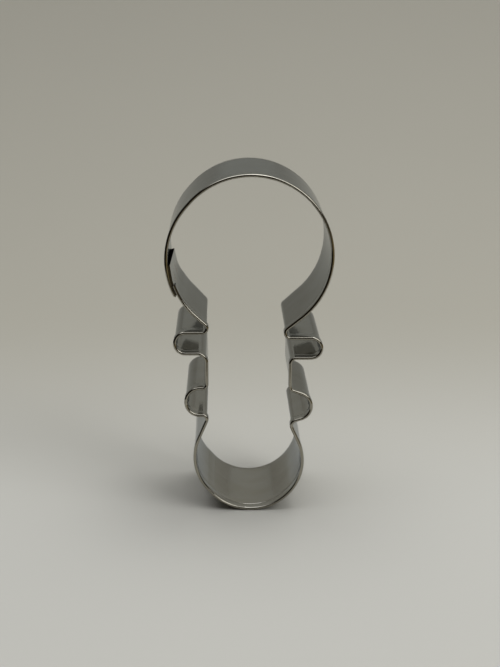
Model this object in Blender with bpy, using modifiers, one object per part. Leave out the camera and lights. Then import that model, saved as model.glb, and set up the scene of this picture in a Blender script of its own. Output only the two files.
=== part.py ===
"""A stainless steel cookie cutter in the outline of a baby's rattle with a bow.

One strip of sheet is wrapped round a chain of bending pins. Its front edge is
folded back inside the loop as a rolled hem, its rear edge is left plain to cut,
and its two ends lap on the left of the head, where two spot welds hold them.

The cutter stands on its round base: +Z runs up to the head, the hem faces -Y
and the cutting edge +Y. The origin lies on the floor, under the middle.
Lengths are in metres and angles in degrees.
"""

import math
from typing import NamedTuple

import bmesh
import bpy
from mathutils import Vector

# The strip
SHEET_THICKNESS = 0.0003
BAND_DEPTH = 0.0225
HEM_RETURN = 0.002
HEM_GAP = 0.00008
WALL_INSET = 0.0001
JOGGLE_RUN = 0.001

# Head: two arcs of one radius, their centres set apart, so it is a little out of round
HEAD_RADIUS = 0.01745
HEAD_STRETCH = 0.0010
HEAD_STRETCH_ANGLE = 49.0
NECK_RUN = 0.0028

# Base: made the same way
BASE_RADIUS = 0.01165
BASE_STRETCH = 0.00135
BASE_STRETCH_ANGLE = -48.0

# Right side, from the base up to the neck
RIGHT_FOOT_ANGLE = 39.6
RIGHT_FOOT_BEND = 0.0009
RIGHT_FOOT_RUN = 0.0035
RIGHT_LOWER_LOBE_RADIUS = 0.00335
RIGHT_LOWER_LOBE_CENTRE = 0.0105
RIGHT_LOWER_LOBE_RUN = 0.0013
RIGHT_SHOULDER_RUN = 0.00205
RIGHT_WAIST_HALF_WIDTH = 0.0092
RIGHT_WAIST_LOWER_BEND = 0.00085
RIGHT_WAIST_UPPER_BEND = 0.0010
RIGHT_WAIST_HEIGHT = 0.0050
RIGHT_UPPER_LOBE_RADIUS = 0.00255
RIGHT_UPPER_LOBE_REACH = 0.01585
RIGHT_NECK_HALF_WIDTH = 0.00805
RIGHT_NECK_BEND = 0.00085

# Left side, which the hand bending left a little different
LEFT_FOOT_ANGLE = 42.7
LEFT_FOOT_BEND = 0.0006
LEFT_FOOT_RUN = 0.0044
LEFT_LOWER_LOBE_RADIUS = 0.00345
LEFT_LOWER_LOBE_CENTRE = 0.0105
LEFT_LOWER_LOBE_RUN = 0.0003
LEFT_SHOULDER_RUN = 0.0003
LEFT_WAIST_HALF_WIDTH = 0.0094
LEFT_WAIST_LOWER_BEND = 0.0006
LEFT_WAIST_UPPER_BEND = 0.00175
LEFT_WAIST_HEIGHT = 0.0048
LEFT_UPPER_LOBE_RADIUS = 0.00265
LEFT_UPPER_LOBE_REACH = 0.0162
LEFT_NECK_HALF_WIDTH = 0.0093
LEFT_NECK_BEND = 0.0007

# Seam: the outer end comes down over the head's left, the inner end goes up inside it
SEAM_ANGLE = 207.2
LAP_LENGTH = 0.0052
TAB_LENGTH = 0.0026
LAP_CLEARANCE = 0.00005
WELD_DIAMETER = 0.0022
WELD_PITCH = 0.008
WELD_DIMPLE = 0.00006
WELD_CLEARANCE = 0.00005
WELD_EDGE_ROUND = 0.00008

# How finely the arcs are divided
CHORD_ERROR = 0.000015
FEWEST_STEPS = 7
STEP_MARGIN = 0.4
FOLD_STEPS = 6
FOLD_INNER_STEPS = 2
WELD_SIDES = 32
WELD_TOLERANCE = 1e-7
SHARP_ANGLE = 40.0

# What follows from the sizes above
HEM_THICKNESS = 2 * SHEET_THICKNESS + HEM_GAP
LAP_STEP = HEM_THICKNESS + LAP_CLEARANCE
INNER_HEAD_RADIUS = HEAD_RADIUS - LAP_STEP
FRONT = BAND_DEPTH / 2

STEEL_COLOUR = (0.50, 0.50, 0.48, 1.0)
WELD_COLOUR = (0.33, 0.32, 0.30, 1.0)


class Pin(NamedTuple):
    """A bending pin: the hem's outer face follows it, clockwise if it lies inside the loop."""

    x: float
    z: float
    radius: float
    turn: int


class Side(NamedTuple):
    """The sizes of one side of the outline, and which way it points."""

    sign: int
    foot_angle: float
    foot_bend: float
    foot_run: float
    lower_lobe_radius: float
    lower_lobe_centre: float
    lower_lobe_run: float
    shoulder_run: float
    waist_half_width: float
    waist_lower_bend: float
    waist_upper_bend: float
    waist_height: float
    upper_lobe_radius: float
    upper_lobe_reach: float
    neck_half_width: float
    neck_bend: float


INSIDE, OUTSIDE = 1, -1

RIGHT = Side(
    1,
    RIGHT_FOOT_ANGLE,
    RIGHT_FOOT_BEND,
    RIGHT_FOOT_RUN,
    RIGHT_LOWER_LOBE_RADIUS,
    RIGHT_LOWER_LOBE_CENTRE,
    RIGHT_LOWER_LOBE_RUN,
    RIGHT_SHOULDER_RUN,
    RIGHT_WAIST_HALF_WIDTH,
    RIGHT_WAIST_LOWER_BEND,
    RIGHT_WAIST_UPPER_BEND,
    RIGHT_WAIST_HEIGHT,
    RIGHT_UPPER_LOBE_RADIUS,
    RIGHT_UPPER_LOBE_REACH,
    RIGHT_NECK_HALF_WIDTH,
    RIGHT_NECK_BEND,
)
LEFT = Side(
    -1,
    LEFT_FOOT_ANGLE,
    LEFT_FOOT_BEND,
    LEFT_FOOT_RUN,
    LEFT_LOWER_LOBE_RADIUS,
    LEFT_LOWER_LOBE_CENTRE,
    LEFT_LOWER_LOBE_RUN,
    LEFT_SHOULDER_RUN,
    LEFT_WAIST_HALF_WIDTH,
    LEFT_WAIST_LOWER_BEND,
    LEFT_WAIST_UPPER_BEND,
    LEFT_WAIST_HEIGHT,
    LEFT_UPPER_LOBE_RADIUS,
    LEFT_UPPER_LOBE_REACH,
    LEFT_NECK_HALF_WIDTH,
    LEFT_NECK_BEND,
)


# Scene


def clear_scene():
    for obj in list(bpy.data.objects):
        bpy.data.objects.remove(obj, do_unlink=True)


def new_collection(name):
    collection = bpy.data.collections.new(name)
    bpy.context.scene.collection.children.link(collection)
    return collection


def new_material(name, colour, roughness, metallic):
    material = bpy.data.materials.new(name)
    material.use_nodes = True
    shader = material.node_tree.nodes["Principled BSDF"]
    shader.inputs["Base Color"].default_value = colour
    shader.inputs["Roughness"].default_value = roughness
    shader.inputs["Metallic"].default_value = metallic
    material.diffuse_color = colour
    return material


def new_object(name, data, collection):
    obj = bpy.data.objects.new(name, data)
    collection.objects.link(obj)
    return obj


# Outline: pins, and the strip that runs tangent from each to the next


def pair_of_centres(middle, spread, angle):
    """Two centres, spread apart along the angle, about the middle."""
    half = 0.5 * spread * Vector((math.cos(math.radians(angle)), math.sin(math.radians(angle))))
    return middle + half, middle - half


def tangent_gap(first, second, run):
    """How far apart two pins on opposite faces stand, for a straight run of this length."""
    return math.hypot(first + second, run)


def height_over(distance, across):
    """Height of one centre over another, from their distance and their offset across."""
    return math.sqrt(max(distance**2 - across**2, 0.0))


def side_pins(side, base_centre):
    """The pins of one side in order, from the bend at the foot up to the bend at the neck."""
    angle = math.radians(side.foot_angle)
    away = tangent_gap(BASE_RADIUS, side.foot_bend, side.foot_run)
    foot_x = base_centre.x + side.sign * away * math.cos(angle)
    foot_z = base_centre.y + away * math.sin(angle)

    lobe_x = side.sign * side.lower_lobe_centre
    away = tangent_gap(side.lower_lobe_radius, side.foot_bend, side.lower_lobe_run)
    lobe_z = foot_z + height_over(away, lobe_x - foot_x)

    waist_x = side.sign * (side.waist_half_width + side.waist_lower_bend)
    away = tangent_gap(side.lower_lobe_radius, side.waist_lower_bend, side.shoulder_run)
    waist_z = lobe_z + height_over(away, lobe_x - waist_x)

    top_x = side.sign * (side.waist_half_width + side.waist_upper_bend)
    top_z = waist_z + side.waist_height

    upper_x = side.sign * (side.upper_lobe_reach - side.upper_lobe_radius)
    upper_z = top_z + side.waist_upper_bend + side.upper_lobe_radius

    neck_x = side.sign * (side.neck_half_width + side.neck_bend)
    neck_z = upper_z + side.upper_lobe_radius + side.neck_bend
    return [
        Pin(foot_x, foot_z, side.foot_bend, OUTSIDE),
        Pin(lobe_x, lobe_z, side.lower_lobe_radius, INSIDE),
        Pin(waist_x, waist_z, side.waist_lower_bend, OUTSIDE),
        Pin(top_x, top_z, side.waist_upper_bend, OUTSIDE),
        Pin(upper_x, upper_z, side.upper_lobe_radius, INSIDE),
        Pin(neck_x, neck_z, side.neck_bend, OUTSIDE),
    ]


def base_centres():
    right, left = pair_of_centres(Vector((0.0, 0.0)), BASE_STRETCH, BASE_STRETCH_ANGLE)
    lift = BASE_RADIUS - min(right.y, left.y)
    return right + Vector((0.0, lift)), left + Vector((0.0, lift))


def head_centres(right_neck, left_neck):
    """The head's two centres, as low as the straight runs above both necks allow."""
    right, left = pair_of_centres(Vector((0.0, 0.0)), HEAD_STRETCH, HEAD_STRETCH_ANGLE)
    heights = []
    for neck, centre, radius in (
        (right_neck, right, HEAD_RADIUS),
        (left_neck, left, INNER_HEAD_RADIUS),
    ):
        away = tangent_gap(radius, neck.radius, NECK_RUN)
        heights.append(neck.z + height_over(away, neck.x - centre.x) - centre.y)
    lift = Vector((0.0, max(heights)))
    return right + lift, left + lift


def cutter_pins():
    """All the pins in the strip's order: clockwise from the seam, seen from the front."""
    base_right, base_left = base_centres()
    right = side_pins(RIGHT, base_right)
    left = side_pins(LEFT, base_left)
    head_right, head_left = head_centres(right[-1], left[-1])
    return [
        Pin(head_left.x, head_left.y, HEAD_RADIUS, INSIDE),
        Pin(head_right.x, head_right.y, HEAD_RADIUS, INSIDE),
        *reversed(right),
        Pin(base_right.x, base_right.y, BASE_RADIUS, INSIDE),
        Pin(base_left.x, base_left.y, BASE_RADIUS, INSIDE),
        *left,
        Pin(head_left.x, head_left.y, INNER_HEAD_RADIUS, INSIDE),
    ]


def run_direction(first, second):
    """Direction of the straight run from one pin to the next, tangent to both."""
    across = second.x - first.x
    up = second.z - first.z
    offset = first.turn * first.radius - second.turn * second.radius
    return math.atan2(up, across) - math.asin(offset / math.hypot(across, up))


def arc_step(radius):
    """Angle of one chord, an even share of a right angle, fine enough for the hem beside it too."""
    widest = 2 * math.acos(1 - CHORD_ERROR / (radius + HEM_THICKNESS))
    return math.pi / 2 / max(FEWEST_STEPS, math.ceil(math.pi / 2 / widest))


def headings(radius, first, last):
    """Headings along an arc: its two ends, and the whole steps between them.

    As the steps divide a right angle, the outline's own top, sides and foot are among them.
    """
    step = arc_step(radius)
    low, high = sorted((first, last))
    start = math.ceil(low / step + STEP_MARGIN)
    stop = math.floor(high / step - STEP_MARGIN)
    between = [index * step for index in range(start, stop + 1)]
    found = [low, *between, high]
    return found if first < last else found[::-1]


def strip_points(pins, start, end):
    """Points along the hem's outer face, from its direction at the start to that at the end."""
    runs = [run_direction(first, second) for first, second in zip(pins, pins[1:])]
    points = []
    for pin, coming, leaving in zip(pins, [start, *runs], [*runs, end]):
        sweep = (pin.turn * (coming - leaving)) % (2 * math.pi)
        reach = pin.turn * pin.radius
        for heading in headings(pin.radius, coming, coming - pin.turn * sweep):
            x = pin.x - reach * math.sin(heading)
            z = pin.z + reach * math.cos(heading)
            points.append((x, z))
    return points


# The band


def arc_angle(length, radius):
    return math.degrees(length / radius)


def tab_end_angle():
    return SEAM_ANGLE - arc_angle(LAP_LENGTH, HEAD_RADIUS)


def hem_end_angle():
    """Where the inner end's hem stops and its plain tab begins."""
    return tab_end_angle() + arc_angle(TAB_LENGTH, INNER_HEAD_RADIUS)


def hem_profile():
    """Cross-section of the strip: depth inwards from the hem's outer face, and height towards the front.

    Behind the hem, a joggle brings the wall in a little, so that the hem stands proud of it.
    """
    fold_radius = HEM_THICKNESS / 2
    fold_start = FRONT - fold_radius
    joggle_start = FRONT - HEM_RETURN
    joggle_end = joggle_start - JOGGLE_RUN
    points = [
        (WALL_INSET, joggle_end),
        (WALL_INSET, -FRONT),
        (WALL_INSET + SHEET_THICKNESS, -FRONT),
        (WALL_INSET + SHEET_THICKNESS, joggle_end),
        (SHEET_THICKNESS, joggle_start),
    ]
    for index in range(FOLD_INNER_STEPS + 1):
        angle = math.pi * (1 - index / FOLD_INNER_STEPS)
        across = fold_radius + HEM_GAP / 2 * math.cos(angle)
        points.append((across, fold_start + HEM_GAP / 2 * math.sin(angle)))
    points.append((HEM_THICKNESS - SHEET_THICKNESS, joggle_start))
    points.append((HEM_THICKNESS, joggle_start))
    for index in range(FOLD_STEPS + 1):
        angle = math.pi * index / FOLD_STEPS
        across = fold_radius + fold_radius * math.cos(angle)
        points.append((across, fold_start + fold_radius * math.sin(angle)))
    points.append((0.0, joggle_start))
    return points


def poly_curve(name, points, closed):
    curve = bpy.data.curves.new(name, "CURVE")
    curve.dimensions = "2D"
    spline = curve.splines.new("POLY")
    spline.points.add(len(points) - 1)
    for point, (x, y) in zip(spline.points, points):
        point.co = (x, y, 0.0, 1.0)
    spline.use_cyclic_u = closed
    return curve


def swept_strip(collection):
    """The hemmed profile swept along the outline, as a mesh lying flat with the hem up."""
    profile = new_object("hem_profile", poly_curve("hem_profile", hem_profile(), True), collection)
    start = math.radians(SEAM_ANGLE - 90)
    end = math.radians(hem_end_angle() - 90)
    path = poly_curve("strip_path", strip_points(cutter_pins(), start, end), False)
    path.bevel_mode = "OBJECT"
    path.bevel_object = profile
    strip = new_object("strip_path", path, collection)
    bpy.context.view_layer.update()
    evaluated = strip.evaluated_get(bpy.context.evaluated_depsgraph_get())
    mesh = bpy.data.meshes.new_from_object(evaluated)
    bpy.data.objects.remove(strip)
    bpy.data.objects.remove(profile)
    return mesh


def nearest(items, place, centre_of):
    return min(items, key=lambda item: (centre_of(item) - place).length)


def spin_tab(shape, caps):
    """Spins the wall of the inner end's cap on round the head, as the tab without a hem."""
    pin = cutter_pins()[-1]
    middle = Vector((pin.x, pin.z, 0.0))
    angle = math.radians(hem_end_angle())
    outwards = Vector((math.cos(angle), math.sin(angle), 0.0))
    outer = middle + outwards * INNER_HEAD_RADIUS
    outer.z = FRONT - HEM_THICKNESS / 2
    inner = outer - outwards * SHEET_THICKNESS
    cap = nearest(caps, outer, lambda face: face.calc_center_median())
    corners = [nearest(cap.verts, place, lambda vertex: vertex.co) for place in (outer, inner)]
    other, _ = bmesh.utils.face_split(cap, *corners)
    wall = min((cap, other), key=lambda face: len(face.verts))
    sweep = arc_angle(TAB_LENGTH, INNER_HEAD_RADIUS)
    bmesh.ops.spin(
        shape,
        geom=[wall, *wall.edges, *wall.verts],
        cent=middle,
        axis=(0, 0, 1),
        angle=-math.radians(sweep),
        steps=math.ceil(math.radians(sweep) / arc_step(INNER_HEAD_RADIUS)),
    )


def build_band(collection, material):
    mesh = swept_strip(collection)
    shape = bmesh.new()
    shape.from_mesh(mesh)
    bmesh.ops.remove_doubles(shape, verts=shape.verts, dist=WELD_TOLERANCE)
    caps = bmesh.ops.holes_fill(shape, edges=shape.edges)["faces"]
    spin_tab(shape, caps)
    bmesh.ops.recalc_face_normals(shape, faces=shape.faces)
    shape.to_mesh(mesh)
    shape.free()
    mesh.name = "cutter_band"
    mesh.materials.append(material)
    mesh.shade_smooth()
    mesh.set_sharp_from_angle(angle=math.radians(SHARP_ANGLE))
    band = new_object("cutter_band", mesh, collection)
    band.rotation_euler = (math.radians(90), 0.0, 0.0)
    return band


# Spot welds


def add_cylinder(name, radius, length, collection):
    bpy.ops.mesh.primitive_cylinder_add(vertices=WELD_SIDES, radius=radius, depth=length)
    obj = bpy.context.object
    obj.name = name
    obj.data.name = name
    for owner in list(obj.users_collection):
        owner.objects.unlink(obj)
    collection.objects.link(obj)
    return obj


def weld_place(depth, radius):
    """A place at the middle of the lap, this far from the head's centre and from mid-depth."""
    centre = cutter_pins()[-1]
    angle = math.radians((SEAM_ANGLE + tab_end_angle()) / 2)
    x = centre.x + radius * math.cos(angle)
    z = centre.z + radius * math.sin(angle)
    return Vector((x, depth, z)), (0.0, math.pi / 2 - angle, 0.0)


def build_weld(name, depth, band, collection, cutters, material):
    """A weld nugget through both layers, dished at its ends, and the hole that it fills."""
    outer_face = HEAD_RADIUS - WALL_INSET
    inner_face = INNER_HEAD_RADIUS - WALL_INSET - SHEET_THICKNESS
    location, rotation = weld_place(depth, (outer_face + inner_face) / 2)
    length = outer_face - inner_face

    nugget = add_cylinder(name, WELD_DIAMETER / 2, length - 2 * WELD_DIMPLE, collection)
    nugget.location = location
    nugget.rotation_euler = rotation
    rim = nugget.modifiers.new("rim", "BEVEL")
    rim.width = WELD_EDGE_ROUND
    rim.segments = 2
    rim.limit_method = "ANGLE"
    nugget.data.materials.append(material)
    nugget.data.shade_smooth()
    nugget.data.set_sharp_from_angle(angle=math.radians(SHARP_ANGLE))

    hole_radius = WELD_DIAMETER / 2 + WELD_CLEARANCE
    hole = add_cylinder(name + "_hole", hole_radius, length + WELD_DIAMETER, cutters)
    hole.location = location
    hole.rotation_euler = rotation
    hole.hide_render = True
    hole.display_type = "WIRE"
    cut = band.modifiers.new(name + "_hole", "BOOLEAN")
    cut.operation = "DIFFERENCE"
    cut.solver = "EXACT"
    cut.object = hole
    return nugget


# Assembly


def main():
    clear_scene()
    cutter = new_collection("cookie_cutter")
    cutters = new_collection("cutters")
    steel = new_material("stainless_steel_sheet", STEEL_COLOUR, 0.28, 1.0)
    welded = new_material("stainless_steel_weld", WELD_COLOUR, 0.45, 1.0)
    stand = new_object("cookie_cutter", None, cutter)
    band = build_band(cutter, steel)
    band.parent = stand
    for name, depth in (("spot_weld_front", -WELD_PITCH / 2), ("spot_weld_rear", WELD_PITCH / 2)):
        weld = build_weld(name, depth, band, cutter, cutters, welded)
        weld.parent = stand


if __name__ == "__main__":
    main()
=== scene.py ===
"""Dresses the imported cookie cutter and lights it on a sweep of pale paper.

Lengths are in metres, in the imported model's frame: +Z runs up the cutter from its round base to its head,
the hemmed grip edge faces -Y, towards the camera, and the plain cutting edge faces +Y.
"""

import bisect
import logging
import math
from dataclasses import dataclass
from enum import Enum
from typing import NamedTuple

import bmesh
import bpy
from mathutils import Matrix, Vector


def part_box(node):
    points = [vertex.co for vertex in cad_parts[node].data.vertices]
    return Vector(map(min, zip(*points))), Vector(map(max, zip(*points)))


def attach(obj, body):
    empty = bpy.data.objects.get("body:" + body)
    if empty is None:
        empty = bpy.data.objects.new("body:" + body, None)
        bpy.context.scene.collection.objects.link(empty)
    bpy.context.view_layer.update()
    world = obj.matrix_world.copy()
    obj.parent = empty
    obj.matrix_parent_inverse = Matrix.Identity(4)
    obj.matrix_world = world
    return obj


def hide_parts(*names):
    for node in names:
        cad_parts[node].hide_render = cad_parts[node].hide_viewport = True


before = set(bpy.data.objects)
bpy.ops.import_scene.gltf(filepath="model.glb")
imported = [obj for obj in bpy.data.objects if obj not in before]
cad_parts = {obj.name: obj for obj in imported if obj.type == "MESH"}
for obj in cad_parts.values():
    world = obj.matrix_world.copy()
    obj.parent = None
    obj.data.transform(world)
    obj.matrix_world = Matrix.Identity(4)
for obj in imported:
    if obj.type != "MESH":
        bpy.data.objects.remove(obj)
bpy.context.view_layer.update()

LOG = logging.getLogger("cookie_cutter")
PLACE = "strip_place"
MM = 0.001

# A Mix node's colour sockets, by number, because its sockets for plain numbers have the same names
COLOUR_A, COLOUR_B, COLOUR_MIXED = 6, 7, 2

Outline = list[tuple[float, float]]


class Node(Enum):
    """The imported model's nodes."""

    BAND = "cutter_band"
    WELD_FRONT = "spot_weld_front"
    WELD_REAR = "spot_weld_rear"


class Slot(Enum):
    """The record's material slots."""

    SHEET = "stainless_steel_sheet"
    WELD = "stainless_steel_weld"


# Colours, shader nodes and objects


def linear(colour: str) -> tuple[float, float, float, float]:
    """Turns an sRGB hex colour to linear light.

    Args:
        colour: Six hex digits after a hash.

    Returns:
        Red, green, blue and an alpha of one.
    """
    parts = [int(colour[index : index + 2], 16) / 255 for index in (1, 3, 5)]
    light = [part / 12.92 if part <= 0.04045 else ((part + 0.055) / 1.055) ** 2.4 for part in parts]
    return (*light, 1.0)


def smooth_step(share: float) -> float:
    """Eases a share from 0 to 1, and holds it there."""
    share = min(max(share, 0.0), 1.0)
    return share * share * (3 - 2 * share)


def add_node(
    tree: bpy.types.NodeTree, kind: str, inputs: dict[str | int, object] | None = None, **settings: object
) -> bpy.types.Node:
    """Adds a shader node.

    Args:
        tree: The node tree that it goes into.
        kind: Blender's name for the node type.
        inputs: Values or output sockets, by the name or number of the input that takes them.
        **settings: Properties of the node itself.

    Returns:
        The new node.
    """
    node = tree.nodes.new(kind)
    for name, value in settings.items():
        setattr(node, name, value)
    for key, value in (inputs or {}).items():
        if isinstance(value, bpy.types.NodeSocket):
            tree.links.new(value, node.inputs[key])
        else:
            node.inputs[key].default_value = value
    return node


def new_material(name: str) -> tuple[bpy.types.Material, bpy.types.NodeTree, bpy.types.Node]:
    """Makes a material with an empty Principled shader.

    Args:
        name: The material's name.

    Returns:
        The material, its node tree and its Principled node.
    """
    material = bpy.data.materials.new(name)
    material.use_nodes = True
    tree = material.node_tree
    return material, tree, tree.nodes["Principled BSDF"]


def add_relief(
    tree: bpy.types.NodeTree,
    shader: bpy.types.Node,
    size: float,
    depth: float,
    detail: float = 2.0,
    strength: float = 1.0,
) -> None:
    """Gives a shader a fine random relief.

    Args:
        tree: The shader's node tree.
        shader: The shader.
        size: The width of the bumps.
        depth: Their depth.
        detail: How many finer layers of bumps are on them.
        strength: How much of their depth shows.
    """
    where = add_node(tree, "ShaderNodeTexCoord")
    noise = add_node(
        tree,
        "ShaderNodeTexNoise",
        {"Vector": where.outputs["Object"], "Scale": 1 / size, "Detail": detail},
    )
    bump = add_node(
        tree,
        "ShaderNodeBump",
        {"Height": noise.outputs["Fac"], "Distance": depth, "Strength": strength},
    )
    tree.links.new(bump.outputs["Normal"], shader.inputs["Normal"])


def add_object(name: str, shape: bmesh.types.BMesh, *materials: bpy.types.Material) -> bpy.types.Object:
    """Turns a finished shape into an object of the scene.

    Args:
        name: The name of the object and its mesh.
        shape: The shape, which is freed.
        *materials: Its finishes, by the material index of its faces.

    Returns:
        The object, shaded smooth.
    """
    mesh = bpy.data.meshes.new(name)
    shape.to_mesh(mesh)
    shape.free()
    for material in materials:
        mesh.materials.append(material)
    mesh.shade_smooth()
    made = bpy.data.objects.new(name, mesh)
    bpy.context.scene.collection.objects.link(made)
    return made


# Finishes


@dataclass(frozen=True)
class ColdRolledSteel:
    """Stainless steel sheet, cold rolled and annealed: satin, with a faint grain along the strip.

    To the eye it is a soft mirror, an even mid grey that takes its tone from the paper, with faint bands
    from edge to edge where the bending has left the sheet a little wavy. Its reflection dims where it is
    seen edge on. The fold is painted darker and warmer than the sheet, and its reflection nearly black
    where
    it is seen edge on: painted shade and a painted olive reflection on the rolled edge.

    The real grain is about 0.02 mm across, too fine to show, so it is drawn six times as coarse.

    Attributes:
        name: The material's name.
        colour: The colour of the clean sheet.
        smear_colour: Its colour where handling has dulled it.
        edge_tint: The colour that its reflection takes where the sheet is seen edge on.
        fold_shade_and_reflection: The fold's colour, darker and warmer than the sheet's: painted shade and
            olive reflection.
        fold_edge_shade: The nearly black colour that the fold's reflection takes where it is seen edge on:
            painted shade.
        roughness: The roughness of the clean sheet.
        smear_roughness: Its roughness where handling has dulled it.
        fold_reach: How far back from the front the fold's painted shade and reflection fade out.
        grain_spacing: The width of the grain's lines.
        grain_length: Their length along the strip.
        grain_depth: Their depth.
        wave_length: The length of the waves along the strip.
        wave_depth: Their depth.
        smear_size: The length of the dulled patches.
        smear_stretch: How many times longer along the strip than across it they are.
        smear_levels: The levels of the noise at which a patch begins and is full.
    """

    name: str = "cold_rolled_stainless_steel"
    colour: str = "#B0AEA9"
    smear_colour: str = "#AAA79F"
    edge_tint: str = "#C6CACE"
    # Painted shade and olive reflection on the fold, and painted shade at its edges
    fold_shade_and_reflection: str = "#9A968A"
    fold_edge_shade: str = "#2C2A26"
    roughness: float = 0.10
    smear_roughness: float = 0.14
    fold_reach: float = 0.34 * MM
    grain_spacing: float = 0.12 * MM
    grain_length: float = 9 * MM
    grain_depth: float = 0.00035 * MM
    wave_length: float = 2.4 * MM
    wave_depth: float = 0.004 * MM
    smear_size: float = 7 * MM
    smear_stretch: float = 1.6
    smear_levels: tuple[float, float] = (0.30, 0.72)

    def build(self, front: float) -> bpy.types.Material:
        """Builds the material.

        Args:
            front: The y of the band's front, where the fold is.

        Returns:
            The finished material.
        """
        material, tree, shader = new_material(self.name)
        place = add_node(tree, "ShaderNodeAttribute", attribute_name=PLACE).outputs["Vector"]
        split = add_node(tree, "ShaderNodeSeparateXYZ", {"Vector": place})
        patch = self._patches(tree, place)
        colour = add_node(
            tree,
            "ShaderNodeMix",
            {"Factor": patch, COLOUR_A: linear(self.colour), COLOUR_B: linear(self.smear_colour)},
            data_type="RGBA",
        )
        gloss = add_node(
            tree,
            "ShaderNodeMapRange",
            {"Value": patch, "To Min": self.roughness, "To Max": self.smear_roughness},
        )
        fold = add_node(
            tree,
            "ShaderNodeMapRange",
            {"Value": split.outputs["Y"], "From Min": front + self.fold_reach, "From Max": front},
            interpolation_type="SMOOTHSTEP",
        )
        # Nearly black reflection at the fold's edges: painted shade
        tint = add_node(
            tree,
            "ShaderNodeMix",
            {
                "Factor": fold.outputs[0],
                COLOUR_A: linear(self.edge_tint),
                COLOUR_B: linear(self.fold_edge_shade),
            },
            data_type="RGBA",
        )
        # Darker, warmer fold: painted shade and painted olive reflection
        painted_fold = add_node(
            tree,
            "ShaderNodeMix",
            {
                "Factor": fold.outputs[0],
                COLOUR_A: colour.outputs[COLOUR_MIXED],
                COLOUR_B: linear(self.fold_shade_and_reflection),
            },
            data_type="RGBA",
        )
        tree.links.new(painted_fold.outputs[COLOUR_MIXED], shader.inputs["Base Color"])
        tree.links.new(gloss.outputs[0], shader.inputs["Roughness"])
        tree.links.new(tint.outputs[COLOUR_MIXED], shader.inputs["Specular Tint"])
        tree.links.new(self._relief(tree, place, split.outputs["X"]), shader.inputs["Normal"])
        shader.inputs["Metallic"].default_value = 1.0
        return material

    def _patches(self, tree: bpy.types.NodeTree, place: bpy.types.NodeSocket) -> bpy.types.NodeSocket:
        """Spreads the patches that handling has dulled.

        Args:
            tree: The material's node tree.
            place: The place on the flat strip.

        Returns:
            A share, 0 where the sheet is clean and 1 where it is dulled.
        """
        stretched = add_node(
            tree,
            "ShaderNodeMapping",
            {"Vector": place, "Scale": (1 / self.smear_size, self.smear_stretch / self.smear_size, 1.0)},
        )
        smear = add_node(
            tree,
            "ShaderNodeTexNoise",
            {
                "Vector": stretched.outputs[0],
                "Scale": 1.0,
                "Detail": 5.0,
                "Roughness": 0.6,
                "Distortion": 0.6,
            },
        )
        low, high = self.smear_levels
        patch = add_node(
            tree,
            "ShaderNodeMapRange",
            {"Value": smear.outputs["Fac"], "From Min": low, "From Max": high},
            interpolation_type="SMOOTHSTEP",
        )
        return patch.outputs[0]

    def _relief(
        self, tree: bpy.types.NodeTree, place: bpy.types.NodeSocket, distance: bpy.types.NodeSocket
    ) -> bpy.types.NodeSocket:
        """Lays the grain over the waves that bending has left.

        Args:
            tree: The material's node tree.
            place: The place on the flat strip.
            distance: How far along the strip it is.

        Returns:
            The normal of the surface.
        """
        travel = add_node(
            tree, "ShaderNodeMath", {0: distance, 1: 1 / self.wave_length}, operation="MULTIPLY"
        )
        wave = add_node(
            tree,
            "ShaderNodeTexNoise",
            {"W": travel.outputs[0], "Scale": 1.0, "Detail": 2.0},
            noise_dimensions="1D",
        )
        ripple = add_node(
            tree,
            "ShaderNodeBump",
            {"Height": wave.outputs["Fac"], "Distance": self.wave_depth, "Strength": 1.0},
        )
        stretched = add_node(
            tree,
            "ShaderNodeMapping",
            {"Vector": place, "Scale": (1 / self.grain_length, 1 / self.grain_spacing, 1.0)},
        )
        grain = add_node(
            tree, "ShaderNodeTexNoise", {"Vector": stretched.outputs[0], "Scale": 1.0, "Detail": 3.0}
        )
        lines = add_node(
            tree,
            "ShaderNodeBump",
            {
                "Height": grain.outputs["Fac"],
                "Distance": self.grain_depth,
                "Strength": 1.0,
                "Normal": ripple.outputs["Normal"],
            },
        )
        return lines.outputs["Normal"]


@dataclass(frozen=True)
class ShearedSteelPaintedShade:
    """The steel of the strip's cut ends: rough, and painted nearly black as shade, for the dark crevice at
    the tab's end.

    Attributes:
        name: The material's name.
        colour: Its colour, nearly black: painted shade.
        edge_tint: The colour that its reflection takes where it is seen edge on, dark: painted shade.
        roughness: Its roughness.
        tear_size: The width of the torn grains.
        tear_depth: Their depth.
    """

    name: str = "sheared_steel_painted_shade"
    # Painted shade: nearly black
    colour: str = "#161514"
    edge_tint: str = "#3A3835"
    roughness: float = 0.6
    tear_size: float = 0.06 * MM
    tear_depth: float = 0.01 * MM

    def build(self) -> bpy.types.Material:
        """Builds the material.

        Returns:
            The finished material.
        """
        material, tree, shader = new_material(self.name)
        add_relief(tree, shader, self.tear_size, self.tear_depth)
        shader.inputs["Base Color"].default_value = linear(self.colour)
        shader.inputs["Specular Tint"].default_value = linear(self.edge_tint)
        shader.inputs["Roughness"].default_value = self.roughness
        shader.inputs["Metallic"].default_value = 1.0
        return material


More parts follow.
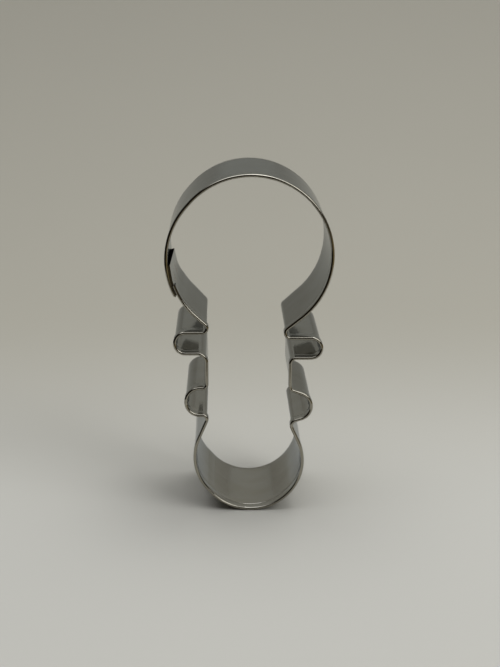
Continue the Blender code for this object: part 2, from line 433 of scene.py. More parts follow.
@dataclass(frozen=True)
class WeldedSteel:
    """Stainless steel that a welding electrode has pressed and heated.

    To the eye it is a little duller than the sheet, with a faint straw-coloured rim.

    Attributes:
        name: The material's name.
        colour: The colour of the middle.
        rim_colour: The colour of the rim.
        rim_start: The share of the radius at which the rim's colour begins.
        roughness: Its roughness.
        pit_size: The width of the electrode's fine pits.
        pit_depth: Their depth.
    """

    name: str = "spot_welded_stainless_steel"
    colour: str = "#A5A39E"
    rim_colour: str = "#9C968A"
    rim_start: float = 0.45
    roughness: float = 0.42
    pit_size: float = 0.15 * MM
    pit_depth: float = 0.004 * MM

    def build(self, radius: float) -> bpy.types.Material:
        """Builds the material.

        Args:
            radius: The weld's radius, at which the rim's colour is full.

        Returns:
            The finished material.
        """
        material, tree, shader = new_material(self.name)
        place = add_node(tree, "ShaderNodeAttribute", attribute_name=PLACE)
        split = add_node(tree, "ShaderNodeSeparateXYZ", {"Vector": place.outputs["Vector"]})
        rim = add_node(
            tree,
            "ShaderNodeMapRange",
            {"Value": split.outputs["Z"], "From Min": self.rim_start * radius, "From Max": radius},
            interpolation_type="SMOOTHSTEP",
        )
        colour = add_node(
            tree,
            "ShaderNodeMix",
            {"Factor": rim.outputs[0], COLOUR_A: linear(self.colour), COLOUR_B: linear(self.rim_colour)},
            data_type="RGBA",
        )
        add_relief(tree, shader, self.pit_size, self.pit_depth, detail=3.0)
        tree.links.new(colour.outputs[COLOUR_MIXED], shader.inputs["Base Color"])
        shader.inputs["Roughness"].default_value = self.roughness
        shader.inputs["Metallic"].default_value = 1.0
        return material


@dataclass(frozen=True)
class Paper:
    """Uncoated paper for the sweep: matt and pale, with a faint cloudiness and tooth.

    It is a neutral off-white underfoot and is painted darker and warmer as it climbs behind the cutter:
    painted shade where less light reaches the wall. The tooth of real paper is about 0.1 mm across, too
    fine to show, so it is drawn seven times as coarse.

    Attributes:
        name: The material's name.
        floor_colour: The colour under the cutter.
        wall_shade_colour: The colour where it climbs behind the cutter, darker and warmer than the floor's:
            painted shade.
        turn: How far back the floor's colour begins to pass into the painted shade of the wall's, and where
            it has.
        cloud_colour: The colour that the cloudiness adds.
        cloud_share: How much of it there is at most.
        cloud_size: The width of a cloud.
        tooth_size: The width of the tooth.
        tooth_depth: Its depth.
        tooth_strength: How much of that depth shows.
        roughness: Its roughness, that of a matt paper.
        gloss_level: The level of its gloss, a tenth of a smooth surface's.
    """

    name: str = "uncoated_paper"
    floor_colour: str = "#C3C2BC"
    # Painted shade: darker and warmer than the floor
    wall_shade_colour: str = "#AEABA0"
    turn: tuple[float, float] = (-0.03, 0.15)
    cloud_colour: str = "#000000"
    cloud_share: float = 0.03
    cloud_size: float = 90 * MM
    tooth_size: float = 0.7 * MM
    tooth_depth: float = 0.02 * MM
    tooth_strength: float = 0.5
    roughness: float = 0.9
    gloss_level: float = 0.05

    def build(self) -> bpy.types.Material:
        """Builds the material.

        Returns:
            The finished material.
        """
        material, tree, shader = new_material(self.name)
        where = add_node(tree, "ShaderNodeTexCoord")
        split = add_node(tree, "ShaderNodeSeparateXYZ", {"Vector": where.outputs["Object"]})
        # Painted shade: the colour passes from the floor's to the darker, warmer wall's as the paper runs
        # back
        wall_shade = add_node(
            tree,
            "ShaderNodeMapRange",
            {"Value": split.outputs["Y"], "From Min": self.turn[0], "From Max": self.turn[1]},
            interpolation_type="SMOOTHSTEP",
        )
        plain = add_node(
            tree,
            "ShaderNodeMix",
            {
                "Factor": wall_shade.outputs[0],
                COLOUR_A: linear(self.floor_colour),
                COLOUR_B: linear(self.wall_shade_colour),
            },
            data_type="RGBA",
        )
        cloud = add_node(
            tree,
            "ShaderNodeTexNoise",
            {"Vector": where.outputs["Object"], "Scale": 1 / self.cloud_size, "Detail": 2.0},
        )
        share = add_node(
            tree, "ShaderNodeMapRange", {"Value": cloud.outputs["Fac"], "To Max": self.cloud_share}
        )
        colour = add_node(
            tree,
            "ShaderNodeMix",
            {
                "Factor": share.outputs[0],
                COLOUR_A: plain.outputs[COLOUR_MIXED],
                COLOUR_B: linear(self.cloud_colour),
            },
            data_type="RGBA",
        )
        add_relief(tree, shader, self.tooth_size, self.tooth_depth, strength=self.tooth_strength)
        tree.links.new(colour.outputs[COLOUR_MIXED], shader.inputs["Base Color"])
        shader.inputs["Roughness"].default_value = self.roughness
        shader.inputs["Specular IOR Level"].default_value = self.gloss_level
        return material


# The strip's path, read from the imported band


class Station(NamedTuple):
    """A place on the hem's outer face, seen from the front as x and z.

    Attributes:
        point: Where it is.
        heading: The line's direction there, of length 1.
        distance: How far along the line it is.
    """

    point: Vector
    heading: Vector
    distance: float


class Bend(NamedTuple):
    """A short piece of the strip's line and how it bends.

    Attributes:
        distance: How far along the line its middle is.
        length: Its length.
        radius: The radius that it is bent to.
        convex: Whether the loop bulges there.
    """

    distance: float
    length: float
    radius: float
    convex: bool


@dataclass
class StripPath:
    """The line of the hem's outer face, from the seam's outer end clockwise to the end of the tab.

    Attributes:
        stations: Places along the line, in order.
        thickness: The sheet's thickness.
        front: The lowest y of the band.
        back: The highest y of the band, where the cutting edge is.
        CORNER: The sharpest turn that is still part of the line, and not a corner of the sheet.
        FINEST: The turn from one station to the next.
        LEAST_TURN: A turn that counts as none.
        LONGER: How many times longer than the next piece of an arc a straight run is.
        SAME: The distance at which two points are one.
        HAIR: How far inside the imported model's box the line keeps.
    """

    stations: list[Station]
    thickness: float
    front: float
    back: float

    CORNER = math.radians(50)
    FINEST = math.radians(2.5)
    LEAST_TURN = 1e-6
    LONGER = 1.7
    SAME = 1e-6
    HAIR = 0.002 * MM

    @classmethod
    def from_node(cls, name: str) -> "StripPath":
        """Reads the path from the plane of a node's cutting edge.

        Args:
            name: The node's name.

        Returns:
            The path, refined to a smooth line.
        """
        low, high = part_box(name)
        rim = cls._rim(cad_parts[name].data, high.y)
        corners = [index for index in range(len(rim)) if cls._turn(rim, index) > cls.CORNER]
        sides = []
        for first, last in zip(corners, corners[1:] + corners[:1]):
            count = (last - first) % len(rim)
            sides.append([rim[(first + step) % len(rim)] for step in range(count + 1)])
        sides.sort(key=cls._length)
        thickness = cls._length(sides[0])
        outer = sides[-1]
        if cls._area(outer) > 0:
            outer = outer[::-1]
        proud = high.z - max(point.y for point in rim) - cls.HAIR
        return cls(cls._smoothed(outer, proud), thickness, low.y, high.y)

    @property
    def length(self) -> float:
        """The strip's whole length."""
        return self.stations[-1].distance

    @property
    def bends(self) -> list[Bend]:
        """Works out how the line bends from station to station.

        Returns:
            One bend for each pair of neighbours.
        """
        found = []
        for first, second in zip(self.stations, self.stations[1:]):
            length = second.distance - first.distance
            turn = first.heading.angle_signed(second.heading, 0.0)
            radius = length / max(abs(turn), self.LEAST_TURN)
            found.append(Bend((first.distance + second.distance) / 2, length, radius, turn > 0))
        return found

    def between(self, values: list[tuple[float, float]], distance: float) -> tuple[float, float]:
        """Finds a pair of values at a place on the line.

        Args:
            values: One pair for each station.
            distance: How far along the line it is.

        Returns:
            The pair there.
        """
        index, share = self._span(distance)
        share = min(share, 1.0)
        first, second = values[index], values[index + 1]
        return first[0] + (second[0] - first[0]) * share, first[1] + (second[1] - first[1]) * share

    def at(self, distance: float, inset: float, y: float) -> Vector:
        """Finds a point beside the line, or beside the arc that carries it on past its end.

        Args:
            distance: How far it is from the seam's outer end.
            inset: How far in from the line it is.
            y: Its y.

        Returns:
            The point.
        """
        index, share = self._span(distance)
        first, second = self.stations[index], self.stations[index + 1]
        turn = first.heading.angle_signed(second.heading, 0.0)
        heading = Vector(first.heading)
        heading.rotate(Matrix.Rotation(-turn * share, 2))
        chord = Vector(first.heading)
        chord.rotate(Matrix.Rotation(-turn * share / 2, 2))
        point = first.point.lerp(second.point, share)
        if share > 1:
            point = first.point + chord * (distance - first.distance)
        point = point + inset * Vector((heading.y, -heading.x))
        return Vector((point.x, y, point.y))

    def _span(self, distance: float) -> tuple[int, float]:
        """Finds the stations that a place on the line lies between.

        Args:
            distance: How far along the line it is.

        Returns:
            The number of the station before it, and the share of the way to the next one, which is over 1
            past the end.
        """
        index = bisect.bisect_right(self.stations, distance, key=lambda station: station.distance) - 1
        index = min(max(index, 0), len(self.stations) - 2)
        first, second = self.stations[index], self.stations[index + 1]
        return index, (distance - first.distance) / (second.distance - first.distance)

    @classmethod
    def _rim(cls, mesh: bpy.types.Mesh, level: float) -> list[Vector]:
        """Walks round the flat face at a level.

        Args:
            mesh: The band's mesh.
            level: The y of the face.

        Returns:
            The corners of the face in order, as x and z.
        """
        shape = bmesh.new()
        shape.from_mesh(mesh)
        bmesh.ops.remove_doubles(shape, verts=shape.verts, dist=cls.SAME)
        flat = {
            face for face in shape.faces if all(abs(vert.co.y - level) < cls.SAME for vert in face.verts)
        }
        edges = {edge for edge in shape.edges if sum(face in flat for face in edge.link_faces) == 1}
        start = next(iter(sorted(edges, key=lambda edge: edge.index))).verts[0]
        vert, came, rim = start, None, []
        while vert != start or came is None:
            rim.append(Vector((vert.co.x, vert.co.z)))
            came = next(edge for edge in vert.link_edges if edge in edges and edge != came)
            vert = came.other_vert(vert)
        shape.free()
        return rim

    @staticmethod
    def _turn(rim: list[Vector], index: int) -> float:
        """How sharply a closed line turns at one of its points."""
        here = rim[index]
        return (here - rim[index - 1]).angle(rim[(index + 1) % len(rim)] - here)

    @staticmethod
    def _length(line: list[Vector]) -> float:
        """The length of a line."""
        return sum((second - first).length for first, second in zip(line, line[1:]))

    @staticmethod
    def _area(line: list[Vector]) -> float:
        """Twice the area inside a line, negative if it runs clockwise."""
        return sum(a.x * b.y - b.x * a.y for a, b in zip(line, line[1:] + line[:1]))

    @classmethod
    def _smoothed(cls, line: list[Vector], proud: float) -> list[Station]:
        """Puts a smooth curve beside the points of a line.

        Args:
            line: Points on arcs and on straight runs between them, clockwise.
            proud: How far outside the points the curve lies.

        Returns:
            Stations close enough together for the arcs to look round.
        """
        headings = cls._headings(line)
        line = [point + proud * Vector((-heading.y, heading.x)) for point, heading in zip(line, headings)]
        stations: list[Station] = []
        distance = 0.0
        for index in range(len(line) - 1):
            start, end = line[index], line[index + 1]
            reach = (end - start).length
            leaving, coming = headings[index], headings[index + 1]
            count = max(1, math.ceil(leaving.angle(coming) / cls.FINEST))
            for step in range(count):
                share = step / count
                point = cls._hermite(start, end, leaving * reach, coming * reach, share)
                heading = leaving.lerp(coming, share).normalized()
                stations.append(Station(point, heading, distance + reach * share))
            distance += reach
        stations.append(Station(line[-1], headings[-1], distance))
        return stations

    @classmethod
    def _headings(cls, line: list[Vector]) -> list[Vector]:
        """Finds a line's direction at each of its points.

        Args:
            line: Points on arcs and on straight runs between them.

        Returns:
            The direction of the straight run beside a point, or else the one between its two chords.
        """
        chords = [second - first for first, second in zip(line, line[1:])]
        found = []
        for before, after in zip(chords[:1] + chords, chords + chords[-1:]):
            longer, shorter = (before, after) if before.length > after.length else (after, before)
            if longer.length > cls.LONGER * shorter.length:
                found.append(longer.normalized())
            else:
                found.append((before.normalized() + after.normalized()).normalized())
        return found

    @staticmethod
    def _hermite(start: Vector, end: Vector, leaving: Vector, coming: Vector, share: float) -> Vector:
        """Finds a point on the cubic curve between two points.

        Args:
            start: Where the curve starts.
            end: Where it ends.
            leaving: Its tangent at the start.
            coming: Its tangent at the end.
            share: The share of the way along it.

        Returns:
            The point.
        """
        square, cube = share**2, share**3
        return (
            start * (2 * cube - 3 * square + 1)
            + leaving * (cube - 2 * square + share)
            + end * (3 * square - 2 * cube)
            + coming * (cube - square)
        )


# The band


@dataclass
class Band:
    """The strip: its wall, the hem folded back inside it, and the plain tab at its inner end.

    Behind the hem the wall draws in where the loop bulges. Where the loop is pinched, it stays level with
    the hem's outer face.

    Attributes:
        path: The line of the hem's outer face.
        hem_thickness: The hem over both layers.
        hem_return: How far the folded edge comes back from the front.
        joggle_run: The run over which the wall draws in behind the hem.
        bulge_inset: How far in from the hem's outer face the wall comes where the loop bulges.
        lobe_spring: How much further in the cutting edge comes round the small lobes.
        blend: The length over which a bulge passes into a pinch.
        tab_length: The length of the inner end's part without a hem.
        tab_lead: How much further the tab reaches at its front corner than at its rear one.
        tab_reach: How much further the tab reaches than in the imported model.
        tab_burr: How much thicker the shears have left the tab's end, half of it to each side.
        lap_length: The length over which the two ends lap.
        lap_start: Where the inner end begins to settle into the lap, in lap lengths from its end.
        lap_blend: The length over which it does, in lap lengths.
        dent_place: How far before the inner end the wall is pushed in most, just clear of the lap.
        dent_reach: How far to each side of that it recovers.
        dent_depth: How far it is pushed in.
        cut_radius: The rounding that shearing leaves on the sheet's edges.
        end_pinch: How round the outer end is, where 1 would close it to a point.
        lead_rows: How many rows of faces lie under the hem.
        joggle_rows: How many lie on the wall's step behind it.
        wall_rows: How many run across the rest of the wall.
        corner_steps: How many faces go round a sheared edge.
        fold_steps: How many go round the inside of the fold.
        nose_steps: How many go round its outside.
        start_steps: How many rings lie on the outer end's rounding.
        LOBE_RADIUS: The widest bend of the small lobes.
        STRAIGHT_RADIUS: The radius past which a piece counts as straight.
        SHARP: The angle between faces at which an edge shows as sharp.
        RING_GAP: The least distance between two rings.
        NOTHING: A weight too small to count, for a place with no bends near it.
    """

    path: StripPath
    hem_thickness: float = 0.68 * MM
    hem_return: float = 2.0 * MM
    joggle_run: float = 0.5 * MM
    bulge_inset: float = 0.23 * MM
    lobe_spring: float = 0.14 * MM
    blend: float = 1.2 * MM
    tab_length: float = 2.6 * MM
    tab_lead: float = 1.6 * MM
    tab_reach: float = 0.3 * MM
    tab_burr: float = 0.30 * MM
    lap_length: float = 5.2 * MM
    lap_start: float = 1.2
    lap_blend: float = 0.4
    dent_place: float = 9.5 * MM
    dent_reach: float = 2.6 * MM
    dent_depth: float = 0.08 * MM
    cut_radius: float = 0.07 * MM
    end_pinch: float = 0.97
    lead_rows: int = 2
    joggle_rows: int = 6
    wall_rows: int = 14
    corner_steps: int = 4
    fold_steps: int = 6
    nose_steps: int = 18
    start_steps: int = 8

    LOBE_RADIUS = 8 * MM
    STRAIGHT_RADIUS = 100 * MM
    SHARP = math.radians(42)
    RING_GAP = 0.05 * MM
    NOTHING = 1e-12

    def __post_init__(self) -> None:
        """Works out how far the wall draws in at each station."""
        self.insets = [self._inset(station.distance) for station in self.path.stations]

    def _inset(self, distance: float) -> tuple[float, float]:
        """Weighs the bends near a place on the strip.

        Args:
            distance: How far along the strip it is.

        Returns:
            How far in the wall comes behind the hem, and how much further its cutting edge comes.
        """
        bulge = lobe = total = self.NOTHING
        for bend in self.path.bends:
            if bend.radius > self.STRAIGHT_RADIUS:
                continue
            weight = bend.length * math.exp(-(((distance - bend.distance) / self.blend) ** 2) / 2)
            total += weight
            bulge += weight * bend.convex
            lobe += weight * (bend.convex and bend.radius < self.LOBE_RADIUS)
        return self.bulge_inset * bulge / total, self.lobe_spring * lobe / total

    def profile(self) -> tuple[Outline, int]:
        """Draws the cross-section of the hemmed strip.

        Returns:
            Its points in order, from the outer face's front end along the wall to the fold and round the
            hem, and how many of them belong to the wall.
        """
        sheet, radius = self.path.thickness, self.cut_radius
        gap = self.hem_thickness - 2 * sheet
        nose = self.hem_thickness / 2
        front, back = self.path.front, self.path.back
        rows = self._rows(front + nose, back - radius)
        wall = [(0.0, y) for y in rows]
        wall += self._sheared(0.0, back)[1:]
        wall += [(sheet, y) for y in rows[-2::-1]]
        hem = self._arc((nose, front + nose), gap / 2, 180, 360, self.fold_steps)[1:]
        hem += self._sheared(sheet + gap, front + self.hem_return)
        hem += self._arc((nose, front + nose), nose, 0, -180, self.nose_steps)[:-1]
        return wall + hem, len(wall)

    def _sheared(self, inset: float, end: float) -> Outline:
        """Rounds the two corners of the sheet at a sheared edge.

        Args:
            inset: How far in the sheet's outer face is.
            end: The y of the edge.

        Returns:
            The points from the outer face to the inner one.
        """
        radius = self.cut_radius
        outer = self._arc((inset + radius, end - radius), radius, 180, 90, self.corner_steps)
        inner = inset + self.path.thickness - radius
        return outer + self._arc((inner, end - radius), radius, 90, 0, self.corner_steps)

    def _rows(self, first: float, last: float) -> list[float]:
        """Spaces the rows of the wall, closer together over its step behind the hem.

        Args:
            first: The y of the first row.
            last: The y of the last row.

        Returns:
            The y of each row.
        """
        joggle = self.path.front + self.hem_return
        end = joggle + self.joggle_run
        lead = [first + (joggle - first) * step / self.lead_rows for step in range(self.lead_rows)]
        bent = [joggle + self.joggle_run * step / self.joggle_rows for step in range(self.joggle_rows + 1)]
        rest = [end + (last - end) * step / self.wall_rows for step in range(1, self.wall_rows + 1)]
        return lead + bent + rest

    @staticmethod
    def _arc(centre: tuple[float, float], radius: float, first: float, last: float, steps: int) -> Outline:
        """Draws an arc.

        Args:
            centre: Its centre.
            radius: Its radius.
            first: The angle of its start, in degrees.
            last: The angle of its end, in degrees.
            steps: How many straight pieces it is made of.

        Returns:
            Its points, both ends among them.
        """
        points = []
        for step in range(steps + 1):
            angle = math.radians(first + (last - first) * step / steps)
            points.append((centre[0] + radius * math.cos(angle), centre[1] + radius * math.sin(angle)))
        return points

    def place(self, distance: float, inset: float, y: float) -> Vector:
        """Finds where a point of the cross-section comes on the strip, with the tab's end cut on a slant.

        Args:
            distance: How far along the strip it is, before the slant.
            inset: How far in from the outer face it is in the cross-section.
            y: Its y in the cross-section.

        Returns:
            The point.
        """
        slant = self.tab_reach + self.tab_lead * (1 - self._depth(y))
        return self.on_sheet(distance + self._along_tab(distance) * slant, inset, y)

    def on_sheet(self, distance: float, inset: float, y: float) -> Vector:
        """Finds a point of the bent sheet.

        Args:
            distance: How far along the strip it is.
            inset: How far in from the outer face it is in the cross-section.
            y: Its y.

        Returns:
            The point.
        """
        depth, length = self._depth(y), self.path.length
        rise = smooth_step((y - self.path.front - self.hem_return) / self.joggle_run)
        drawn, sprung = self.path.between(self.insets, distance)
        settling = distance - length + self.lap_start * self.lap_length
        lapped = smooth_step(settling / (self.lap_blend * self.lap_length))
        dent = math.exp(-(((distance - length + self.dent_place) / self.dent_reach) ** 2))
        inset += self._along_tab(distance) * self.tab_burr * (inset / self.path.thickness - 0.5)
        inset += (1 - lapped) * (rise * (drawn + self.dent_depth * dent) + depth * sprung)
        return self.path.at(distance, inset, y)

    def _along_tab(self, distance: float) -> float:
        """How far along the tab a distance is, 0 before its start and 1 at its end before the slant."""
        return max(distance - self.path.length + self.tab_length, 0.0) / self.tab_length

    def _depth(self, y: float) -> float:
        """How far back a y is, from 0 at the front to 1 at the cutting edge."""
        return (y - self.path.front) / (self.path.back - self.path.front)

    def build(self, sheet: bpy.types.Material, cut: bpy.types.Material) -> bpy.types.Object:
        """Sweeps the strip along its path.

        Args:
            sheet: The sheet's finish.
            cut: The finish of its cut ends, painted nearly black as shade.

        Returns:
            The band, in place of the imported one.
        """
        profile, wall_count = self.profile()
        hem_end = self.path.length - self.tab_length
        shape = bmesh.new()
        layer = shape.verts.layers.float_vector.new(PLACE)
        rings = []
        for distance in self._distances(hem_end):
            count = len(profile) if distance <= hem_end else wall_count
            ring = []
            for inset, y in self._rounded(profile[:count], distance):
                vert = shape.verts.new(self.place(distance, inset, y))
                vert[layer] = (distance, y, inset)
                ring.append(vert)
            rings.append(ring)
        for first, second in zip(rings, rings[1:]):
            for index in range(len(second)):
                following = (index + 1) % len(second)
                shape.faces.new((first[index], second[index], second[following], first[following]))
        self._close_ends(shape, rings, wall_count)
        bmesh.ops.recalc_face_normals(shape, faces=shape.faces)
        band = add_object("strip", shape, sheet, cut)
        band.data.set_sharp_from_angle(angle=self.SHARP)
        return band

    def _distances(self, hem_end: float) -> list[float]:
        """Spaces the rings along the strip, close together on its rounded start.

        Args:
            hem_end: How far along the strip the hem ends.

        Returns:
            The distance of each ring: on the start, at each station clear of it, and at the hem's end.
        """
        radius = self.hem_thickness / 2
        found = [
            station.distance
            for station in self.path.stations
            if station.distance > radius + self.RING_GAP and abs(station.distance - hem_end) > self.RING_GAP
        ]
        angles = [math.pi / 2 * step / self.start_steps for step in range(self.start_steps + 1)]
        rounded = [radius * (1 - math.cos(angle)) for angle in angles]
        return sorted([*rounded, hem_end, *found])

    def _rounded(self, profile: Outline, distance: float) -> Outline:
        """Pinches the cross-section towards the strip's outer end, which the shears have rounded off.

        Args:
            profile: The whole cross-section, or its part on the wall.
            distance: How far along the strip it is.

        Returns:
            The cross-section there.
        """
        radius = self.hem_thickness / 2
        share = max(1 - distance / radius, 0.0)
        width = math.sqrt(1 - self.end_pinch * share * share)
        nose = self.path.front + radius
        hem_end = self.path.front + self.hem_return
        pinched = []
        for inset, y in profile:
            middle = radius if y <= hem_end else self.path.thickness / 2
            depth = width if y < nose else 1.0
            pinched.append((middle + (inset - middle) * width, nose + (y - nose) * depth))
        return pinched

    @staticmethod
    def _close_ends(
        shape: bmesh.types.BMesh, rings: list[list[bmesh.types.BMVert]], wall_count: int
    ) -> None:
        """Closes the strip's two ends and the step where the hem stops.

        Args:
            shape: The strip's mesh.
            rings: Its vertices, one list for each station.
            wall_count: How many vertices of a list belong to the wall.
        """
        last_hem = next(ring for ring, after in zip(rings, rings[1:]) if len(after) < len(ring))
        # The ends and the hem's step take the nearly black finish: painted shade
        for ring in (rings[0], rings[-1], [*last_hem[wall_count - 1 :], last_hem[0]]):
            shape.faces.new(ring).material_index = 1


# The spot welds


@dataclass
class SpotWeld:
    """A spot weld through the lap: a nugget whose two faces the electrodes have dished.

    Attributes:
        node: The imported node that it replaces.
        band: The strip that it holds.
        segments: How many faces go round it.
        steps: How many places along the strip are tried to find the weld's.
        rings: Share of the radius and height over the sheet, from the rim to the middle of a face.
    """

    node: Node
    band: Band
    segments: int = 48
    steps: int = 200
    rings: tuple[tuple[float, float], ...] = (
        (1.00, -0.030 * MM),
        (1.00, 0.003 * MM),
        (0.95, 0.009 * MM),
        (0.88, 0.011 * MM),
        (0.80, 0.008 * MM),
        (0.70, 0.004 * MM),
        (0.45, 0.002 * MM),
        (0.20, 0.002 * MM),
    )

    def build(self, name: str, material: bpy.types.Material) -> bpy.types.Object:
        """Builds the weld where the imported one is.

        Args:
            name: The piece's name.
            material: The weld's finish.

        Returns:
            The weld.
        """
        low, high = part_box(self.node.value)
        middle = (low + high) / 2
        radius = (high.y - low.y) / 2
        sheet, length = self.band.path.thickness, self.band.path.length
        outer = self._nearest(middle, 0.0, 2 * self.band.lap_length)
        inner = self._nearest(middle, length - 2 * self.band.lap_length, length)
        shape = bmesh.new()
        layer = shape.verts.layers.float_vector.new(PLACE)
        front_loops = [
            self._loop(shape, layer, outer, middle.y, radius * share, -lift) for share, lift in self.rings
        ]
        back_loops = [
            self._loop(shape, layer, inner, middle.y, radius * share, sheet + lift)
            for share, lift in reversed(self.rings)
        ]
        for loops in (front_loops, back_loops):
            for first, second in zip(loops, loops[1:]):
                self._join(shape, first, second)
        self._join(shape, back_loops[-1], front_loops[0])
        shape.faces.new(front_loops[-1])
        shape.faces.new(back_loops[0])
        bmesh.ops.recalc_face_normals(shape, faces=shape.faces)
        return add_object(name, shape, material)

    def _loop(
        self,
        shape: bmesh.types.BMesh,
        layer: bmesh.types.BMLayerItem,
        distance: float,
        y: float,
        radius: float,
        inset: float,
    ) -> list[bmesh.types.BMVert]:
        """Adds one ring of vertices round the weld's axis, bent with the sheet.

        Args:
            shape: The weld's mesh.
            layer: The layer that takes each vertex's place on the weld.
            distance: How far along the strip the axis is.
            y: The y of the axis.
            radius: The ring's radius.
            inset: How far in from the strip's outer face it is.

        Returns:
            Its vertices in order.
        """
        loop = []
        for index in range(self.segments):
            angle = 2 * math.pi * index / self.segments
            along, across = radius * math.cos(angle), radius * math.sin(angle)
            vert = shape.verts.new(self.band.on_sheet(distance + along, inset, y + across))
            vert[layer] = (along, across, radius)
            loop.append(vert)
        return loop

    def _join(
        self, shape: bmesh.types.BMesh, first: list[bmesh.types.BMVert], second: list[bmesh.types.BMVert]
    ) -> None:
        """Adds the faces between two rings.

        Args:
            shape: The weld's mesh.
            first: The vertices of one ring.
            second: The vertices of the next.
        """
        for index in range(self.segments):
            following = (index + 1) % self.segments
            shape.faces.new((first[index], first[following], second[following], second[index]))

    def _nearest(self, middle: Vector, first: float, last: float) -> float:
        """Finds where a stretch of the strip comes nearest to a point.

        Args:
            middle: The point.
            first: The distance at which the stretch starts.
            last: The distance at which it ends.

        Returns:
            The nearest distance.
        """
        away = {}
        for step in range(self.steps + 1):
            distance = first + (last - first) * step / self.steps
            away[distance] = (self.band.on_sheet(distance, 0.0, middle.y) - middle).length
        return min(away, key=away.get)


# The studio


@dataclass
class Sweep:
    """A sheet of pale paper that runs under the cutter and curves up behind it.

    Attributes:
        start: How far behind the cutter the paper begins to curve.
        bend: The radius of its curve.
        width: Its width.
        reach: How far it comes forward.
        height: How high it goes.
        steps: How many faces go up its curve.
    """

    start: float = 0.10
    bend: float = 0.50
    width: float = 0.31
    reach: float = 0.10
    height: float = 0.125
    steps: int = 40

    def build(self, material: bpy.types.Material) -> bpy.types.Object:
        """Builds the sweep.

        Args:
            material: The paper's finish.

        Returns:
            The sweep.
        """
        line = [(-self.reach, 0.0)]
        last = math.acos(1 - self.height / self.bend)
        for step in range(self.steps + 1):
            angle = last * step / self.steps
            line.append((self.start + self.bend * math.sin(angle), self.bend * (1 - math.cos(angle))))
        shape = bmesh.new()
        pairs = [[shape.verts.new((x, y, z)) for x in (-self.width / 2, self.width / 2)] for y, z in line]
        for (left, right), (left_after, right_after) in zip(pairs, pairs[1:]):
            shape.faces.new((left, right, right_after, left_after))
        sweep = add_object("sweep", shape, material)
        return sweep


@dataclass(frozen=True)
class SoftBox:
    """A soft square lamp.

    Attributes:
        name: The lamp's name.
        place: Where it stands.
        size: The length of its side.
        radiance: How bright its face is, in watts per square metre and steradian.
        colour: The colour of its light.
        target: What it points at.
    """

    name: str
    place: tuple[float, float, float]
    size: float
    radiance: float
    colour: str = "#FFFFFF"
    target: tuple[float, float, float] = (0.0, 0.0, 0.03)

    def build(self) -> bpy.types.Object:
        """Builds the lamp.

        Returns:
            The lamp, turned towards its target.
        """
        lamp = bpy.data.lights.new(self.name, "AREA")
        lamp.shape = "SQUARE"
        lamp.size = self.size
        lamp.energy = self.radiance * math.pi * self.size**2
        lamp.color = linear(self.colour)[:3]
        obj = bpy.data.objects.new(self.name, lamp)
        obj.location = self.place
        aim = Vector(self.target) - Vector(self.place)
        obj.rotation_euler = aim.to_track_quat("-Z", "Y").to_euler()
        bpy.context.scene.collection.objects.link(obj)
        return obj


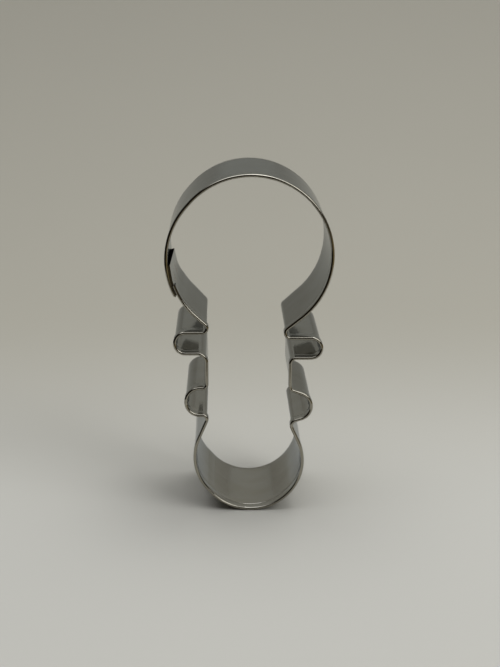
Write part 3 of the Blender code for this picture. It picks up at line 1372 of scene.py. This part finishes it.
@dataclass(frozen=True)
class Room:
    """The room round the sweep, which the steel mirrors.

    Its walls are pale behind and to the right, and dim in front and to the left. A bright ceiling lies
    right overhead and is dim towards the front, and a brown table lies round the paper. Each pair of
    numbers below is where one tone starts to pass into another and where it has, along a direction of
    length 1.

    Attributes:
        table: The colour of the table at the left.
        lit_table: Its colour at the right, nearer the window.
        dim_wall: The colour of the walls in front and to the left.
        lit_wall: The colour of the walls behind and to the right.
        ceiling: The ceiling's colour.
        ceiling_level: How bright the ceiling is.
        backdrop: What the camera itself sees past the paper, close to the paper's own tone.
        lit_side: The direction of the lit walls.
        wall_turn: How far towards the lit side the walls get pale.
        horizon: How high the table gives way to the walls.
        table_turn: How far to the right the table gets pale.
        ceiling_edge: How high the walls give way to the ceiling.
        ceiling_front: How far to the rear the ceiling gets bright.
    """

    table: str = "#15120E"
    lit_table: str = "#958765"
    dim_wall: str = "#1E1B17"
    lit_wall: str = "#A6A59C"
    ceiling: str = "#FDFEFF"
    ceiling_level: float = 2.34
    backdrop: str = "#A6A398"
    lit_side: tuple[float, float, float] = (0.45, 0.89, 0.0)
    wall_turn: tuple[float, float] = (-0.2, 0.9)
    horizon: tuple[float, float] = (-0.08, 0.02)
    table_turn: tuple[float, float] = (-0.3, 0.9)
    ceiling_edge: tuple[float, float] = (0.70, 0.96)
    ceiling_front: tuple[float, float] = (-0.60, -0.15)

    def build(self) -> bpy.types.World:
        """Builds the room as the scene's world.

        Returns:
            The world.
        """
        world = bpy.data.worlds.new("room")
        world.use_nodes = True
        tree = world.node_tree
        tree.nodes.clear()
        shares = self._shares(tree)
        bright = tuple(part * self.ceiling_level for part in linear(self.ceiling)[:3])
        tones = {
            "table": linear(self.table),
            "lit_table": linear(self.lit_table),
            "dim_wall": linear(self.dim_wall),
            "lit_wall": linear(self.lit_wall),
            "ceiling": (*bright, 1.0),
            "backdrop": linear(self.backdrop),
        }
        for result, share, first, second in (
            ("walls", "lit", "dim_wall", "lit_wall"),
            ("tables", "near_window", "table", "lit_table"),
            ("low", "above", "tables", "walls"),
            ("high", "clear", "dim_wall", "ceiling"),
            ("mirrored", "overhead", "low", "high"),
            ("whole", "seen", "mirrored", "backdrop"),
        ):
            mix = add_node(
                tree,
                "ShaderNodeMix",
                {"Factor": shares[share], COLOUR_A: tones[first], COLOUR_B: tones[second]},
                data_type="RGBA",
            )
            tones[result] = mix.outputs[COLOUR_MIXED]
        sky = add_node(tree, "ShaderNodeBackground", {"Color": tones["whole"]})
        add_node(tree, "ShaderNodeOutputWorld", {"Surface": sky.outputs[0]})
        bpy.context.scene.world = world
        return world

    def _shares(self, tree: bpy.types.NodeTree) -> dict[str, bpy.types.NodeSocket]:
        """Works out, for each direction, which of the room's tones shows there.

        Args:
            tree: The world's node tree.

        Returns:
            A share from 0 to 1 for each change of tone, by its name.
        """
        where = add_node(tree, "ShaderNodeTexCoord")
        split = add_node(tree, "ShaderNodeSeparateXYZ", {"Vector": where.outputs["Generated"]})
        turned = add_node(
            tree,
            "ShaderNodeVectorMath",
            {0: where.outputs["Generated"], 1: self.lit_side},
            operation="DOT_PRODUCT",
        )
        ray = add_node(tree, "ShaderNodeLightPath")
        shares = {"seen": ray.outputs["Is Camera Ray"]}
        for name, value, (low, high) in (
            ("lit", turned.outputs["Value"], self.wall_turn),
            ("above", split.outputs["Z"], self.horizon),
            ("near_window", split.outputs["X"], self.table_turn),
            ("overhead", split.outputs["Z"], self.ceiling_edge),
            ("clear", split.outputs["Y"], self.ceiling_front),
        ):
            eased = add_node(
                tree,
                "ShaderNodeMapRange",
                {"Value": value, "From Min": low, "From Max": high},
                interpolation_type="SMOOTHSTEP",
            )
            shares[name] = eased.outputs[0]
        return shares


@dataclass(frozen=True)
class PhotoCamera:
    """The camera at the photograph's place and angle, all angles in degrees.

    Attributes:
        place: Where it stands.
        pitch: How far it looks up, so less than 0 as it looks down.
        yaw: How far it is turned to the left.
        roll: How far it is tipped.
        focal_pixels: Its focal length in pixels of the photograph.
        frame_pixels: The photograph's width and height.
        sensor: The longer side of its sensor, in mm.
        clip: The nearest and the farthest that it sees.
    """

    place: tuple[float, float, float] = (-0.0060, -0.2643, 0.1193)
    pitch: float = -17.18
    yaw: float = -1.395
    roll: float = 0.24
    focal_pixels: float = 1250.0
    frame_pixels: tuple[int, int] = (500, 667)
    sensor: float = 36.0
    clip: tuple[float, float] = (0.01, 20.0)

    def build(self) -> bpy.types.Object:
        """Builds the camera and makes it the scene's own.

        Returns:
            The camera.
        """
        data = bpy.data.cameras.new("photo_camera")
        data.sensor_width = self.sensor
        data.lens = self.focal_pixels / max(self.frame_pixels) * self.sensor
        data.clip_start, data.clip_end = self.clip
        camera = bpy.data.objects.new("photo_camera", data)
        turn = (
            Matrix.Rotation(math.radians(self.yaw), 4, "Z")
            @ Matrix.Rotation(math.radians(90 + self.pitch), 4, "X")
            @ Matrix.Rotation(math.radians(self.roll), 4, "Z")
        )
        camera.matrix_world = Matrix.Translation(self.place) @ turn
        bpy.context.scene.collection.objects.link(camera)
        bpy.context.scene.camera = camera
        return camera


# Assembly


def carry(piece: bpy.types.Object, node: Node) -> None:
    """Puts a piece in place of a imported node.

    Args:
        piece: The piece.
        node: The node that it replaces.
    """
    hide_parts(node.value)
    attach(piece, "root")
    LOG.info("%s: %d faces", piece.name, len(piece.data.polygons))


def main() -> None:
    """Builds the cutter's visible pieces, then the studio round them."""
    logging.basicConfig(level=logging.INFO, format="%(name)s: %(message)s")
    bpy.context.scene.view_settings.view_transform = "Standard"

    path = StripPath.from_node(Node.BAND.value)
    LOG.info("strip: %.1f mm long, sheet %.2f mm", path.length / MM, path.thickness / MM)
    band = Band(path)
    carry(band.build(ColdRolledSteel().build(path.front), ShearedSteelPaintedShade().build()), Node.BAND)
    low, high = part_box(Node.WELD_FRONT.value)
    weld_finish = WeldedSteel().build((high.y - low.y) / 2)
    for node, name in ((Node.WELD_FRONT, "weld_front"), (Node.WELD_REAR, "weld_rear")):
        carry(SpotWeld(node, band).build(name, weld_finish), node)

    Sweep().build(Paper().build())
    Room().build()
    SoftBox("window_light", place=(0.52, -0.40, 0.52), size=0.50, radiance=2.7).build()
    SoftBox("ceiling_light", place=(0.12, 0.10, 0.75), size=0.25, radiance=3.0).build()
    PhotoCamera().build()


if __name__ == "__main__":
    main()
